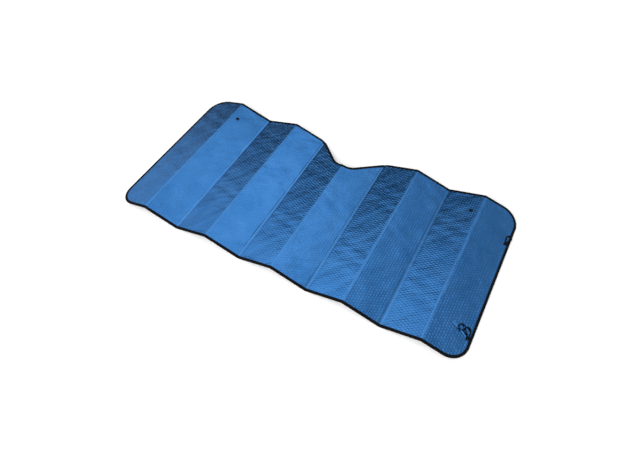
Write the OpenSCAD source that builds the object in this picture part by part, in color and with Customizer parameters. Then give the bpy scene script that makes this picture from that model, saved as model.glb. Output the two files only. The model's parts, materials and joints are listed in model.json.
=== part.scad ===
// Concertina windscreen sunshade: ten quilted foil panels that fold face to face.
// The shade stands open in a shallow zigzag. X runs along it, Y runs up the windscreen side
// with the mirror notch at +Y, and Z is up. The origin is on the floor under the middle crease.

/* [Overall] */
// Pitch from one crease to the next
panel_w = 128; // [105:1:160]
// Width of the first and of the last panel, from crease to outer edge
end_panel_w = 134; // [108:1:166]
// Height of the shade, from bottom edge to top edge
height = 600; // [480:5:740]
// Angle of each panel to the floor when the shade stands open
open_tilt = 16.25; // [8:0.25:40]
// Radius of the four outer corners
corner_r = 65; // [30:1:100]

/* [Mirror notch] */
// Depth of the notch for the rear-view mirror
notch_depth = 105; // [84:1:135]
// Radius at the bottom of the notch
notch_bottom_r = 60; // [48:1:72]
// Radius where the notch runs out into the top edge
notch_shoulder_r = 40; // [28:1:50]
// Slope of the two sides of the notch
notch_side_angle = 45; // [38:1:60]

/* [Bubble sheet] */
// Thickness of the whole sheet, over both films
sheet_t = 4; // [3:0.1:6]
// Thickness of the blue film and of the silver film
film_t = 0.25; // [0.15:0.05:0.4]
// Thickness of the sheet where it is pressed flat beside a crease
pressed_t = 2.4; // [1.6:0.1:2.8]
// Width pressed flat on the inner side of a fold, on each side of the crease
pressed_in_w = 5; // [3:0.5:9]
// Width pressed flat on the outer side of a fold, on each side of the crease
pressed_out_w = 2; // [1:0.5:4]
// Width over which the pressed sheet rises to its full thickness
pressed_ramp_w = 1.2; // [0.6:0.1:2]
// Gap between two neighbouring panels when they lie flat, half on each side of the crease
crease_gap = 1; // [0.6:0.1:2]

/* [Edge tape] */
// Width of the tape that shows on each face
tape_w = 9; // [7:0.5:14]
// Thickness of the tape
tape_t = 0.8; // [0.5:0.1:1.2]
// Distance from the outer edge to the seam
seam_inset = 6.4; // [4:0.2:6.4]
// Width of the sewing thread
thread_w = 0.8; // [0.4:0.1:1.2]
// Depth that the thread is sunk into the tape
thread_t = 0.3; // [0.2:0.05:0.4]
// Clearance between each tape and the middle of the fold when the shade is shut
fold_clearance = 0.3; // [0.2:0.05:0.6]

/* [Eyelets] */
// Radius of the hole through an eyelet
eyelet_hole_r = 2.8; // [2:0.1:3.6]
// Wall of the eyelet's barrel
eyelet_wall = 0.5; // [0.3:0.1:0.8]
// Radius of the eyelet's flange
eyelet_flange_r = 6.5; // [4.6:0.1:7]
// Thickness of the eyelet's flange
eyelet_flange_t = 0.6; // [0.4:0.05:0.7]
// Distance of an eyelet from the nearest crease
eyelet_from_crease = 25; // [14:1:60]
// Distance of an eyelet from the top edge
eyelet_from_top = 80; // [40:1:140]

/* [Elastic loops] */
// Diameter of the elastic cord
cord_d = 3.4; // [2:0.1:3.6]
// Length of a sewn tack, along the edge
tack_l = 9; // [6:0.5:12]
// Width of a sewn tack, across the two ends of the cord
tack_w = 10.6; // [10.6:0.1:12]
// Height of a sewn tack above the sheet
tack_h = 3.8; // [2.4:0.1:4]
// Gap between the edge tape and a sewn tack
tack_gap = 0.1; // [0.05:0.05:1]

/* [Hidden] */

panel_count = 10;
middle_crease = 5;
left_eyelet_panel = 2;
right_eyelet_panel = 9;
right_angle = 90;
// Largest turn between two points of an outline arc
arc_step = 5;
bore_fn = 48;
// Length that cutting tools run past what they cut
past = 1;

// Half of the thickness at the tape, and how far a crease's axis lies from the middle of the sheet
half_edge_t = sheet_t / 2 + tape_t;
axis_offset = half_edge_t + fold_clearance;
half_gap = crease_gap / 2;

// Crease axes: the valley axes and the ridge axes each lie at one height
crease_step = panel_w * cos(open_tilt) + 2 * axis_offset * sin(open_tilt);
valley_z = (axis_offset + half_edge_t) * cos(open_tilt) - half_gap * sin(open_tilt);
ridge_z = valley_z + panel_w * sin(open_tilt) - 2 * axis_offset * cos(open_tilt);

// The end panels lean a little less, so that their outer edges rest on the floor too
edge_reach = sqrt(end_panel_w * end_panel_w + fold_clearance * fold_clearance);
end_tilt = asin(ridge_z / edge_reach) + atan2(fold_clearance, end_panel_w);

// The flat outline
half_length = (panel_count / 2 - 1) * panel_w + end_panel_w;
half_height = height / 2;
corner_x = half_length - corner_r;
corner_y = half_height - corner_r;
notch_bottom_y = half_height - notch_depth + notch_bottom_r;
shoulder_y = half_height - notch_shoulder_r;
notch_radii = notch_bottom_r + notch_shoulder_r;
shoulder_x = (notch_radii + (notch_depth - notch_radii) * cos(notch_side_angle)) / sin(notch_side_angle);

barrel_r = eyelet_hole_r + eyelet_wall;
eyelet_y = half_height - eyelet_from_top;

// Routes of the two elastic loops on the last panel: distance inwards from the tape, distance
// from the bottom edge or from the top edge, and height of the cord's underside above the sheet
LOWER_ROUTE = [
    [4.3, 91, 0], [4.6, 98, 0], [5.1, 105.2, 0], [6.8, 113.1, 0], [11.7, 117.3, 0], [17.5, 117.6, 0],
    [21.8, 114.2, 0], [24.4, 107, 0], [27.3, 100.9, 0], [32.7, 98, 0], [39.1, 99.3, 0],
    [43.3, 105.1, 0], [42.7, 112.6, 0], [37.7, 117.3, 0], [31.5, 117.4, 0.6], [26, 112.7, 3],
    [23.4, 105.7, 3.5], [18.9, 100.6, 1.4], [13.7, 96.1, 0.3], [8.9, 91, 0]
];
UPPER_ROUTE = [
    [8.4, 134, 0], [8.4, 127, 0], [8.6, 120.1, 0], [9.8, 112.9, 0], [6.8, 106.6, 0.2],
    [1.3, 104.1, 0.9], [-4, 105.7, 0.95], [-7.2, 110.8, 0.95], [-6.2, 117.6, 0.95],
    [-1.3, 122.8, 0.95], [2.5, 127.9, 0.55], [3.6, 134, 0]
];
CORD_SIDES = 8;
RINGS_PER_STRETCH = 2;
CORD_REST = 0.05;

function is_end(i) = i == 1 || i == panel_count;
function is_rising(i) = i % 2 == 1;
function is_ridge(k) = k % 2 == 1;
function width_of(i) = is_end(i) ? end_panel_w : panel_w;
function tilt_of(i) = is_end(i) ? end_tilt : open_tilt;
function crease_x(k) = (k - middle_crease) * crease_step;
// Where a panel begins and ends along the flat sheet, and what of it is left of its own width
function flat_start(i) = i == 1 ? -half_length : (i - middle_crease - 1) * panel_w;
function near_end(i) = i == 1 ? 0 : half_gap;
function far_end(i) = i == panel_count ? end_panel_w : width_of(i) - half_gap;

// Points of an arc from angle a to angle b
function arc(x, y, r, a, b) =
    let (count = ceil(abs(b - a) / arc_step))
    [for (j = [0:count]) let (t = a + (b - a) * j / count) [x + r * cos(t), y + r * sin(t)]];

// The flat outline of the whole shade, drawn in by an inset
function outline(inset) = concat(
    arc(corner_x, -corner_y, corner_r - inset, -right_angle, 0),
    arc(corner_x, corner_y, corner_r - inset, 0, right_angle),
    arc(shoulder_x, shoulder_y, notch_shoulder_r - inset, right_angle, right_angle + notch_side_angle),
    arc(0, notch_bottom_y, notch_bottom_r + inset,
        notch_side_angle - right_angle, -notch_side_angle - right_angle),
    arc(-shoulder_x, shoulder_y, notch_shoulder_r - inset, right_angle - notch_side_angle, right_angle),
    arc(-corner_x, corner_y, corner_r - inset, right_angle, 2 * right_angle),
    arc(-corner_x, -corner_y, corner_r - inset, 2 * right_angle, 3 * right_angle)
);

// Width pressed flat beside crease k on the front or on the back
function pressed_w(k, front) = is_ridge(k) == front ? pressed_out_w : pressed_in_w;

// Half thickness of panel i along its width, as points [along, height], drawn in by an inset
function side_profile(i, front, inset) = concat(
    i == 1 ? [[0, sheet_t / 2 - inset]] : let (w = pressed_w(i - 1, front)) [
        [half_gap, pressed_t / 2 - inset],
        [w, pressed_t / 2 - inset],
        [w + pressed_ramp_w, sheet_t / 2 - inset]
    ],
    i == panel_count ? [[end_panel_w, sheet_t / 2 - inset]] : let (w = width_of(i) - pressed_w(i, front)) [
        [w - pressed_ramp_w, sheet_t / 2 - inset],
        [w, pressed_t / 2 - inset],
        [width_of(i) - half_gap, pressed_t / 2 - inset]
    ]
);
function flipped(points) = [for (p = points) [p[0], -p[1]]];
function backwards(points) = [for (j = [len(points) - 1:-1:0]) points[j]];

// Puts panel i, drawn flat from its left crease or edge, where it stands in the open shade
module place_panel(i) {
    ridge = is_rising(i) ? i : i - 1;
    translate([crease_x(ridge), 0, ridge_z])
    rotate([0, is_rising(i) ? -tilt_of(i) : tilt_of(i), 0])
    translate([is_rising(i) ? -width_of(i) : 0, 0, axis_offset])
    children();
}

// The flat shape of panel i, drawn in by an inset from the shade's outline
module panel_shape(i, inset) {
    intersection() {
        translate([-flat_start(i), 0]) polygon(outline(inset));
        translate([near_end(i), -height]) square([far_end(i) - near_end(i), 2 * height]);
    }
}

// The band of panel i between two insets
module edge_band(i, outer_inset, inner_inset) {
    difference() {
        panel_shape(i, outer_inset);
        translate([-flat_start(i), 0]) polygon(outline(inner_inset));
    }
}

module slab(low, high) {
    translate([0, 0, low]) linear_extrude(height = high - low) children();
}

// A layer of panel i inside the tape, with a profile along the panel's width
module profiled_layer(i, profile) {
    intersection() {
        rotate([right_angle, 0, 0]) linear_extrude(height = height, center = true) polygon(profile);
        slab(-sheet_t, sheet_t) panel_shape(i, tape_w);
    }
}

// Where the eyelet goes through panel i, if it has one
module at_eyelet(i) {
    if (i == left_eyelet_panel) translate([eyelet_from_crease, eyelet_y, 0]) children();
    if (i == right_eyelet_panel) translate([panel_w - eyelet_from_crease, eyelet_y, 0]) children();
}

module eyelet_opening(i) {
    at_eyelet(i) cylinder(h = sheet_t + 2 * past, r = barrel_r, center = true, $fn = bore_fn);
}

// One film: it follows the pressed creases, and lies flat under the tape
module film(i, front) {
    outer = side_profile(i, front, 0);
    inner = side_profile(i, front, film_t);
    profile = concat(outer, backwards(inner));
    place_panel(i)
    difference() {
        union() {
            profiled_layer(i, front ? profile : flipped(profile));
            slab(front ? sheet_t / 2 - film_t : -sheet_t / 2, front ? sheet_t / 2 : film_t - sheet_t / 2)
                edge_band(i, tape_t, tape_w);
        }
        eyelet_opening(i);
    }
}

module front_film(i) {
    color([0.2, 0.45, 0.75]) film(i, true);
}

module back_film(i) {
    color([0.78, 0.8, 0.82]) film(i, false);
}

// The bubble layer between the two films
module bubble_core(i) {
    upper = side_profile(i, true, film_t);
    lower = flipped(side_profile(i, false, film_t));
    color([0.85, 0.88, 0.9])
    place_panel(i)
    difference() {
        union() {
            profiled_layer(i, concat(upper, backwards(lower)));
            slab(film_t - sheet_t / 2, sheet_t / 2 - film_t) edge_band(i, tape_t, tape_w);
        }
        eyelet_opening(i);
    }
}

module seam_rings(i, grow) {
    for (face = [-1, 1])
        translate([0, 0, face * (half_edge_t - thread_t / 2 + grow / 2)])
        linear_extrude(height = thread_t + grow, center = true)
        edge_band(i, seam_inset - thread_w / 2, seam_inset + thread_w / 2);
}

// The tape: folded over the sheet's edge, with a groove where the seam is drawn in
module edge_tape(i) {
    color([0.05, 0.05, 0.06])
    place_panel(i)
    difference() {
        slab(-half_edge_t, half_edge_t) edge_band(i, 0, tape_w);
        slab(-sheet_t / 2, sheet_t / 2) panel_shape(i, tape_t);
        seam_rings(i, past);
    }
}

module seam_thread(i) {
    color([0.12, 0.12, 0.13])
    place_panel(i)
    seam_rings(i, 0);
}

// Front half of an eyelet: a flange and the barrel that goes through the sheet
module eyelet(i) {
    flange_top = sheet_t / 2 + eyelet_flange_t;
    color([0.1, 0.1, 0.11])
    place_panel(i)
    at_eyelet(i)
    difference() {
        union() {
            slab(sheet_t / 2, flange_top) circle(r = eyelet_flange_r, $fn = bore_fn);
            slab(-flange_top, sheet_t / 2) circle(r = barrel_r, $fn = bore_fn);
        }
        cylinder(h = 2 * flange_top + past, r = eyelet_hole_r, center = true, $fn = bore_fn);
    }
}

// Washer that the barrel is rolled over on the back
module eyelet_washer(i) {
    color([0.1, 0.1, 0.11])
    place_panel(i)
    at_eyelet(i)
    slab(-sheet_t / 2 - eyelet_flange_t, -sheet_t / 2)
    difference() {
        circle(r = eyelet_flange_r, $fn = bore_fn);
        circle(r = barrel_r, $fn = bore_fn);
    }
}

function unit(v) = v / norm(v);
// Point at t between b and c on the smooth curve through a, b, c and d
function smooth(a, b, c, d, t) =
    (2 * b + (c - a) * t + (2 * a - 5 * b + 4 * c - d) * t * t + (3 * b - a - 3 * c + d) * t * t * t) / 2;
function smooth_route(p) = [
    for (j = [0:len(p) - 2], k = [0:RINGS_PER_STRETCH - 1])
        smooth(p[max(j - 1, 0)], p[j], p[j + 1], p[min(j + 2, len(p) - 1)], k / RINGS_PER_STRETCH),
    p[len(p) - 1]
];
function heading(p, j) = unit(p[min(j + 1, len(p) - 1)] - p[max(j - 1, 0)]);
// Both ends leave the tack at right angles
function ring_heading(p, j) = j == 0 ? [0, 1, 0] : j == len(p) - 1 ? [0, -1, 0] : heading(p, j);
function ring(c, h) =
    let (side = unit(cross(h, [0, 0, 1])), up = cross(side, h))
    [for (k = [0:CORD_SIDES - 1]) let (t = (k + 0.5) * 4 * right_angle / CORD_SIDES)
        c + cord_d / 2 * (cos(t) * side + sin(t) * up)];

// Place along the edge of something that is given from the top edge or from the bottom edge
function from_edge(y, top) = top ? half_height - y : y - half_height;

// A cord that lies on the last panel along a route
module cord(route, top) {
    path = smooth_route([for (p = route)
        [end_panel_w - tape_w - p[0], from_edge(p[1], top), sheet_t / 2 + cord_d / 2 + CORD_REST + p[2]]]);
    last = len(path) - 1;
    points = [for (j = [0:last]) each ring(path[j], ring_heading(path, j))];
    walls = [for (j = [0:last - 1], k = [0:CORD_SIDES - 1]) let (n = (k + 1) % CORD_SIDES)
        [j * CORD_SIDES + k, j * CORD_SIDES + n, (j + 1) * CORD_SIDES + n, (j + 1) * CORD_SIDES + k]];
    start = [for (k = [CORD_SIDES - 1:-1:0]) k];
    finish = [for (k = [0:CORD_SIDES - 1]) last * CORD_SIDES + k];
    color([0.04, 0.04, 0.05])
    place_panel(panel_count)
    polyhedron(points = points, faces = concat([start, finish], walls), convexity = 8);
}

// The block of close stitches that holds both ends of a cord, just below them
module tack(route, top) {
    color([0.06, 0.06, 0.07])
    place_panel(panel_count)
    translate([
        end_panel_w - tape_w - tack_gap - tack_w,
        from_edge(route[0][1], top) - tack_l,
        sheet_t / 2
    ])
    cube([tack_w, tack_l, tack_h]);
}

module elastic_loop_lower() {
    cord(LOWER_ROUTE, false);
}

module elastic_loop_upper() {
    cord(UPPER_ROUTE, true);
}

module loop_tack_lower() {
    tack(LOWER_ROUTE, false);
}

module loop_tack_upper() {
    tack(UPPER_ROUTE, true);
}

for (i = [1:panel_count]) {
    front_film(i);
    bubble_core(i);
    back_film(i);
    edge_tape(i);
    seam_thread(i);
}
eyelet(left_eyelet_panel);  // eyelet_left
eyelet_washer(left_eyelet_panel);  // eyelet_washer_left
eyelet(right_eyelet_panel);  // eyelet_right
eyelet_washer(right_eyelet_panel);  // eyelet_washer_right
elastic_loop_lower();
loop_tack_lower();
elastic_loop_upper();
loop_tack_upper();
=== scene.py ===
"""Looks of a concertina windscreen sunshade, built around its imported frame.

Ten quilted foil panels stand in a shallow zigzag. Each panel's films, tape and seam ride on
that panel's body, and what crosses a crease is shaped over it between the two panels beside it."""

import json
import math

import bpy
import numpy as np
from mathutils import Matrix, Vector


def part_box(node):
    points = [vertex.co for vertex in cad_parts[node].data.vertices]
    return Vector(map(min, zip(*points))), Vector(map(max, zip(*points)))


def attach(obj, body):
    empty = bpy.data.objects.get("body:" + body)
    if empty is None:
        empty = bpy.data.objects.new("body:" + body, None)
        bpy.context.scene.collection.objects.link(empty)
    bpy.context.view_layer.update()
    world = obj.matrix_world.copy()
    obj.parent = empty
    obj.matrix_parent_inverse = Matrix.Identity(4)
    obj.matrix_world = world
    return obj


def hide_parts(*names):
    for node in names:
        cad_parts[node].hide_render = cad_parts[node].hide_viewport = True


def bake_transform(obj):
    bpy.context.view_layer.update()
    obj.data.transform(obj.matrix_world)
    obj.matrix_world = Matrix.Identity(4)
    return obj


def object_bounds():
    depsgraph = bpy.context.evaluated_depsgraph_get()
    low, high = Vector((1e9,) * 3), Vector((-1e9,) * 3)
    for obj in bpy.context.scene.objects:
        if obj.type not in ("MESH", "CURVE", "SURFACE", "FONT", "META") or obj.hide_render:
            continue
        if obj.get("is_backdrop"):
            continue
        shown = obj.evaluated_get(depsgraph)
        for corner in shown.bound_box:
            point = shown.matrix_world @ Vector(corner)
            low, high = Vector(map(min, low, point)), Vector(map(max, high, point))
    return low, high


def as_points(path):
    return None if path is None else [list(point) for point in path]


bl_info = {
    "name": "Concertina Windscreen Sunshade",
    "version": (1, 0, 0),
    "blender": (4, 5, 0),
    "location": "3D View > Sidebar > Sunshade",
    "description": "Builds a folding windscreen sunshade of quilted foil around its frame",
    "category": "Object",
}

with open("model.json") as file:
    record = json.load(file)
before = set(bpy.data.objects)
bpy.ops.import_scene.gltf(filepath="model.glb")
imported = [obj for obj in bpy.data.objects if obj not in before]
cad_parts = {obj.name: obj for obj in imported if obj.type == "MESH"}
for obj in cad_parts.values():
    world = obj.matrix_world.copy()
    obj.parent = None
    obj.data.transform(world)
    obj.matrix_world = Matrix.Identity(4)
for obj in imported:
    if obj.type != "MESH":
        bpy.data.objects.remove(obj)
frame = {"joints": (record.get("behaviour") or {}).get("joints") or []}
CAD_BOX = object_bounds()
JOINTS = {joint["name"]: joint for joint in frame["joints"]}
PANELS = range(1, 11)
CREASES = range(1, 10)
LAST = 10
MIDDLE = 5
EYELET_PANELS = {"left": 2, "right": 9}

# How full the bubbles of each panel's front film stand, at four heights over the sheet's middle,
# and how far they run together in rows towards the top edge
RELIEF_Y = (-0.24, -0.1, 0.08, 0.24)
RELIEF = (
    (0.5, 0.4, 0.4, 0.6), (0.9, 0.7, 1.0, 2.0), (0.5, 0.5, 0.7, 0.9), (0.4, 0.25, 0.2, 0.3),
    (0.6, 0.6, 0.9, 1.0), (0.4, 0.4, 0.4, 0.5), (0.5, 0.6, 0.8, 1.0), (0.9, 0.75, 0.6, 0.7),
    (0.9, 0.8, 0.8, 1.0), (1.2, 0.8, 0.4, 0.4),
)
BACK_RELIEF = (0.8, 0.7, 0.7, 0.8)
RIBBED = {2: 0.9, 9: 0.35}
RIB_START, RIB_RISE = 0.02, 0.12

# Width over which the film's bulges fade out beside the tape and an eyelet
CALM_W = 0.012

# Ends and half width of the stray fold on the last panel
FOLD_MARK = ((0.054, -0.19), (0.109, -0.2115))
FOLD_MARK_W = 0.0024

# Routes of the two elastic loops on the last panel, in metres: distance inwards from the tape,
# distance from the bottom edge or from the top edge, height of the cord's underside
LOWER_ROUTE = [
    (0.0043, 0.091, 0), (0.0046, 0.098, 0), (0.0051, 0.1052, 0), (0.0068, 0.1131, 0),
    (0.0117, 0.1173, 0), (0.0175, 0.1176, 0), (0.0218, 0.1142, 0), (0.0244, 0.107, 0),
    (0.0273, 0.1009, 0), (0.0327, 0.098, 0), (0.0391, 0.0993, 0), (0.0433, 0.1051, 0),
    (0.0427, 0.1126, 0), (0.0377, 0.1173, 0), (0.0315, 0.1174, 0.0006), (0.026, 0.1127, 0.003),
    (0.0234, 0.1057, 0.0035), (0.0189, 0.1006, 0.0014), (0.0137, 0.0961, 0.0003),
    (0.0089, 0.091, 0),
]
UPPER_ROUTE = [
    (0.0084, 0.134, 0), (0.0084, 0.127, 0), (0.0086, 0.1201, 0), (0.0098, 0.1129, 0),
    (0.0068, 0.1066, 0.0002), (0.0013, 0.1041, 0.0009), (-0.004, 0.1057, 0.00095),
    (-0.0072, 0.1108, 0.00095), (-0.0062, 0.1176, 0.00095), (-0.0013, 0.1228, 0.00095),
    (0.0025, 0.1279, 0.00055), (0.0036, 0.134, 0),
]


def length(name, text, default, most=1.0):
    """A length in metres, for a property group."""
    return bpy.props.FloatProperty(
        name=name, description=text, default=default, min=0, max=most, unit="LENGTH", precision=5
    )


def colour(name, text, default):
    """A colour, for a property group."""
    return bpy.props.FloatVectorProperty(
        name=name, description=text, default=default, min=0, max=1, size=3, subtype="COLOR"
    )


class ShadeSizes(bpy.types.PropertyGroup):
    """Sizes of the sheet, its edge and its fittings."""

    end_panel_w: length("End panel", "Width of the first and the last panel", 0.134)
    corner_r: length("Corner", "Radius of the outer corners", 0.065)
    notch_depth: length("Notch depth", "Depth of the mirror notch", 0.105)
    notch_bottom_r: length("Notch bottom", "Radius at the bottom of the notch", 0.06)
    notch_shoulder_r: length("Notch shoulder", "Radius beside the notch", 0.04)
    sheet_t: length("Sheet", "Thickness over both films", 0.004)
    film_t: length("Film", "Thickness of one film", 0.00025)
    pressed_t: length("Pressed sheet", "Thickness pressed flat beside a crease", 0.0024)
    pressed_in_w: length("Pressed inside", "Pressed width on the inner side of a fold", 0.005)
    pressed_out_w: length("Pressed outside", "Pressed width on the outer side of a fold", 0.002)
    ramp_w: length("Ramp", "Width over which the pressed sheet rises", 0.0014)
    crease_gap: length("Crease gap", "Gap between two panels that lie flat", 0.001)
    fold_clearance: length("Fold clearance", "Room between tape and fold middle", 0.0003)
    tape_w: length("Tape", "Width of the edge tape on each face", 0.009)
    tape_t: length("Tape thickness", "Thickness of the edge tape", 0.0008)
    tuck_w: length("Tuck", "How far the films stop short of the edge, under the tape", 0.005)
    seam_inset: length("Seam", "Distance from the edge to the seam", 0.0064)
    stitch_pitch: length("Stitch pitch", "Distance from one stitch to the next", 0.004)
    stitch_l: length("Stitch", "Length of one stitch", 0.0031)
    thread_d: length("Thread", "Diameter of the sewing thread", 0.0007)
    eyelet_hole_r: length("Eyelet hole", "Radius of the hole through an eyelet", 0.0028)
    eyelet_wall: length("Eyelet wall", "Wall of an eyelet's barrel", 0.0005)
    eyelet_flange_r: length("Eyelet flange", "Radius of an eyelet's flange", 0.0065)
    eyelet_flange_t: length("Flange thickness", "Thickness of an eyelet's flange", 0.0006)
    cord_d: length("Cord", "Diameter of the elastic cord", 0.0034)
    tack_w: length("Tack width", "Width of a sewn tack", 0.0106)
    tack_l: length("Tack length", "Length of a sewn tack", 0.009)
    tack_h: length("Tack height", "Height of a sewn tack above the sheet", 0.0038)
    tack_gap: length("Tack gap", "Gap between the tape and a tack", 0.0001)


class ShadeFinish(bpy.types.PropertyGroup):
    """Bubble pattern and colours."""

    bubble_pitch: length("Bubble pitch", "Distance between neighbouring bubbles", 0.01)
    bubble_depth: length("Bubble depth", "How deep the film sinks between bubbles", 0.0006)
    bubble_flat_r: length("Bubble top", "Radius of a bubble's flat top", 0.0024)
    bubble_r: length("Bubble", "Radius of a bubble at its foot", 0.0048)
    bubble_spread: bpy.props.FloatProperty(
        name="Bubble spread", description="How much flatter some bubbles are", default=0.5,
        min=0, max=1, subtype="FACTOR",
    )
    crumple: length("Crumple", "How far the film bulges and sinks between its edges", 0.00042)
    fold_mark: length("Fold mark", "Depth of the stray fold beside the lower loop", 0.0014)
    foil_blue: colour("Foil blue", "Colour of the front film", (0.07, 0.255, 0.62))
    # Painted shade: the front film is coloured darker where it sinks between the bubbles
    foil_blue_groove_shade: colour("Foil shade", "Front film between the bubbles", (0.034, 0.17, 0.47))
    foil_silver: colour("Foil silver", "Colour of the back film", (0.74, 0.75, 0.78))
    tape_black: colour("Tape black", "Colour of the edge tape", (0.003, 0.003, 0.004))
    thread_black: colour("Thread black", "Colour of the thread", (0.004, 0.004, 0.005))
    eyelet_black: colour("Eyelet black", "Colour of the eyelets", (0.003, 0.003, 0.004))
    cord_black: colour("Cord black", "Colour of the elastic cord", (0.002, 0.002, 0.003))
    floor_white: colour("Floor", "Colour of the floor", (0.93, 0.93, 0.93))


def sizes():
    return bpy.context.scene.shade_sizes


def finish_values():
    return bpy.context.scene.shade_finish


# ---------------------------------------------------------------- the folded shade's geometry


def smoothstep(x):
    x = np.clip(x, 0.0, 1.0)
    return x * x * (3 - 2 * x)


def scatter(row, column):
    """A fixed share from 0 to 1 for each bubble, with no pattern to it."""
    value = np.sin(12.9898 * row + 78.233 * column) * 43758.5453
    return value - np.floor(value)


def turned(crease, x, y, z, tilt):
    """Points about a crease, turned by a tilt and moved to their place in the frame."""
    x, y, z, tilt = np.broadcast_arrays(x, y, z, tilt)
    across = crease[0] + x * np.cos(tilt) - z * np.sin(tilt)
    return np.stack([across, y, crease[2] + x * np.sin(tilt) + z * np.cos(tilt)], -1)


class Shade:
    """Where the flat sheet lies once it is folded. Lengths along the flat sheet are called s,
    lengths from a panel's own left crease are called u, and z is the height over its middle."""

    def __init__(self):
        size = sizes()
        low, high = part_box("edge_tape_1")
        self.half_height = (high.y - low.y) / 2
        self.tilt = math.radians(-JOINTS["fold_5"]["range_deg"][0] / 2)
        self.half_edge = size.sheet_t / 2 + size.tape_t
        self.axis = self.half_edge + size.fold_clearance
        self.gap = size.crease_gap / 2
        step = JOINTS["fold_6"]["pos_m"][0] - JOINTS["fold_5"]["pos_m"][0]
        self.panel_w = (step - 2 * self.axis * math.sin(self.tilt)) / math.cos(self.tilt)
        self.end_w = size.end_panel_w
        reach = math.hypot(self.end_w, size.fold_clearance)
        ridge_z = JOINTS["fold_5"]["pos_m"][2]
        self.end_tilt = math.asin(ridge_z / reach) + math.atan2(size.fold_clearance, self.end_w)
        self.half_length = 4 * self.panel_w + self.end_w
        low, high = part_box("eyelet_left")
        self.eyelet_y = (low.y + high.y) / 2
        self.shoulder_x = math.sqrt(2) * (size.notch_bottom_r + size.notch_shoulder_r) + (
            size.notch_depth - size.notch_bottom_r - size.notch_shoulder_r
        )

    def eyelet_u(self, side):
        """Where an eyelet sits across its panel."""
        low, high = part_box(f"eyelet_{side}")
        crease = JOINTS[f"fold_{1 if side == 'left' else 9}"]["pos_m"]
        along = abs((low.x + high.x) / 2 - crease[0]) / math.cos(self.tilt)
        along -= self.axis * math.tan(self.tilt)
        return along if side == "left" else self.panel_w - along

    def width(self, i):
        return self.end_w if i in (1, LAST) else self.panel_w

    def tilt_of(self, i):
        return self.end_tilt if i in (1, LAST) else self.tilt

    def start(self, i):
        return -self.half_length if i == 1 else (i - MIDDLE - 1) * self.panel_w

    def ends(self, i, inset):
        """Where panel i's sheet begins and ends, stopping an inset short of an outer edge."""
        near = inset if i == 1 else self.gap
        far = self.width(i) - (inset if i == LAST else self.gap)
        return near, far

    def edge(self, s, inset, top):
        """Height of the top or bottom edge over the middle, drawn in by an inset."""
        size = sizes()
        s = np.abs(np.asarray(s, float))
        inset = np.broadcast_to(np.asarray(inset, float), s.shape)
        y = self.half_height - inset
        r = size.corner_r - inset
        along = np.clip(s - (self.half_length - size.corner_r), 0, r)
        corner = self.half_height - size.corner_r + np.sqrt(r * r - along * along)
        y = np.where(along > 0, corner, y)
        if not top:
            return -y
        half = math.sqrt(0.5)
        bottom_r = size.notch_bottom_r + inset
        bottom_y = self.half_height - size.notch_depth + size.notch_bottom_r
        shoulder_r = size.notch_shoulder_r - inset
        shoulder_y = self.half_height - size.notch_shoulder_r
        turn = bottom_r * half
        meet = self.shoulder_x - shoulder_r * half
        bowl = bottom_y - np.sqrt(np.maximum(bottom_r**2 - np.minimum(s, turn) ** 2, 0))
        slope = bottom_y - turn + (s - turn)
        over = np.clip(self.shoulder_x - s, 0, shoulder_r)
        shoulder = shoulder_y + np.sqrt(shoulder_r**2 - over**2)
        notch = np.where(s < turn, bowl, np.where(s < meet, slope, shoulder))
        return np.where(s < self.shoulder_x, notch, y)

    def place(self, i, u, y, z):
        """Points of panel i in the frame."""
        rising = i % 2 == 1
        crease = JOINTS[f"fold_{i if rising else i - 1}"]["pos_m"]
        tilt = self.tilt_of(i) * (1 if rising else -1)
        u = np.asarray(u, float) - (self.width(i) if rising else 0)
        return turned(crease, u, y, np.asarray(z, float) + self.axis, tilt)

    def across(self, k, w, y, z):
        """Points that bridge crease k: w runs from 0 at the left panel to 1 at the right one."""
        ridge = k % 2 == 1
        crease = JOINTS[f"fold_{k}"]["pos_m"]
        sign = 1 if ridge else -1
        w = np.asarray(w, float)
        tilt = sign * (self.tilt_of(k) * (1 - w) - self.tilt_of(k + 1) * w)
        return turned(crease, self.gap * (2 * w - 1), y, z + sign * self.axis, tilt)

    def crease_s(self, k):
        return (k - MIDDLE) * self.panel_w

    def pressed_w(self, k, front):
        size = sizes()
        return size.pressed_out_w if (k % 2 == 1) == front else size.pressed_in_w

    def unpressed(self, i, u, front):
        """0 where the sheet is pressed flat beside a crease, 1 where it has its full shape."""
        ramp = sizes().ramp_w
        free = np.ones_like(u)
        if i > 1:
            free = free * smoothstep((u - self.pressed_w(i - 1, front)) / ramp)
        if i < LAST:
            free = free * smoothstep((self.width(i) - u - self.pressed_w(i, front)) / ramp)
        return free

    def bubbles(self, s, y):
        """1 on a bubble's flat top and 0 between bubbles: rows along y, every second one moved
        by half a pitch."""
        look = finish_values()
        pitch = look.bubble_pitch
        row_pitch = pitch * math.sqrt(0.75)
        row = np.floor(s / row_pitch)
        nearest, fullness = np.full(s.shape, np.inf), np.ones(s.shape)
        for number in (row, row + 1):
            offset = (number % 2) * pitch / 2
            column = np.floor((y - offset) / pitch + 0.5)
            away = np.hypot(s - number * row_pitch, y - offset - column * pitch)
            own = 1 - look.bubble_spread * scatter(number, column)
            fullness = np.where(away < nearest, own, fullness)
            nearest = np.minimum(nearest, away)
        fall = (nearest - look.bubble_flat_r) / (look.bubble_r - look.bubble_flat_r)
        return fullness * (1 - smoothstep(fall))

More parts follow.
